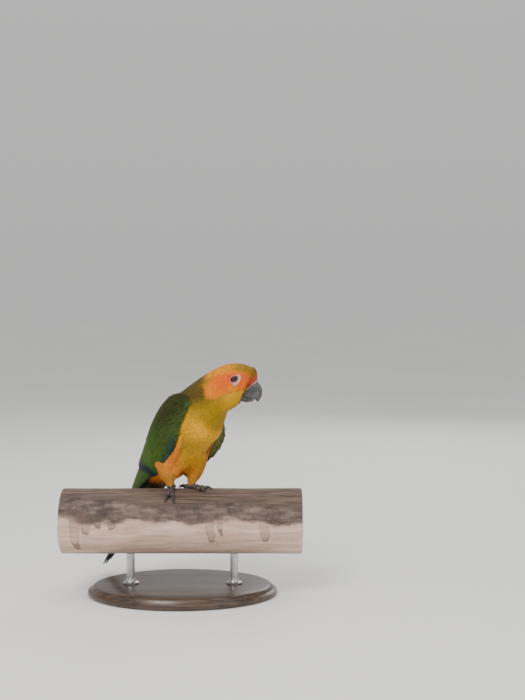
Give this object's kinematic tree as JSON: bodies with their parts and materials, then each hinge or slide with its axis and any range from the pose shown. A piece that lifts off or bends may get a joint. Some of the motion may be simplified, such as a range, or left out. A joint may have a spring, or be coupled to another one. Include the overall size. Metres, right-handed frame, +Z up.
{
  "type": "sun conure model on a perch",
  "caption": "Still life-size sun conure gripping a short cut of round log, held by two short rods on a flat oval display base.",
  "frame": {"origin": "centre of the stand base's underside", "axes": "+Z up; +X along the log, the way the face looks; -Y toward the viewer of the picture"},
  "size_m": [0.24, 0.1553, 0.2328],
  "materials": {
    "head_feathers": "short soft feathers, orange face under an olive and yellow crown",
    "body_feathers": "soft overlapping feathers, olive neck, golden breast, orange belly and thighs",
    "flight_feathers": "smooth vanes, green with blue and dark tips",
    "foot_skin": "scaly grey skin with dark horn claws",
    "bill": "dark grey horn with a low sheen, pale bare cere",
    "eye": "dark brown iris, wet gloss",
    "log_wood": "peeled weathered wood with a dirty band and drip stains",
    "stand_base": "dark satin wood",
    "stand_rod": "satin steel"
  },
  "bodies": {
    "root": {"head": "head_feathers", "neck": "body_feathers", "torso": "body_feathers", "tail": "flight_feathers", "wing_left": "flight_feathers", "wing_right": "flight_feathers", "leg_left": "body_feathers", "leg_right": "body_feathers", "foot_left": "foot_skin", "foot_right": "foot_skin", "bill_upper": "bill", "bill_lower": "bill", "eye_left": "eye", "eye_right": "eye", "perch": "log_wood", "stand_base": "stand_base", "stand_rod_left": "stand_rod", "stand_rod_right": "stand_rod"}
  },
  "joints": []
}
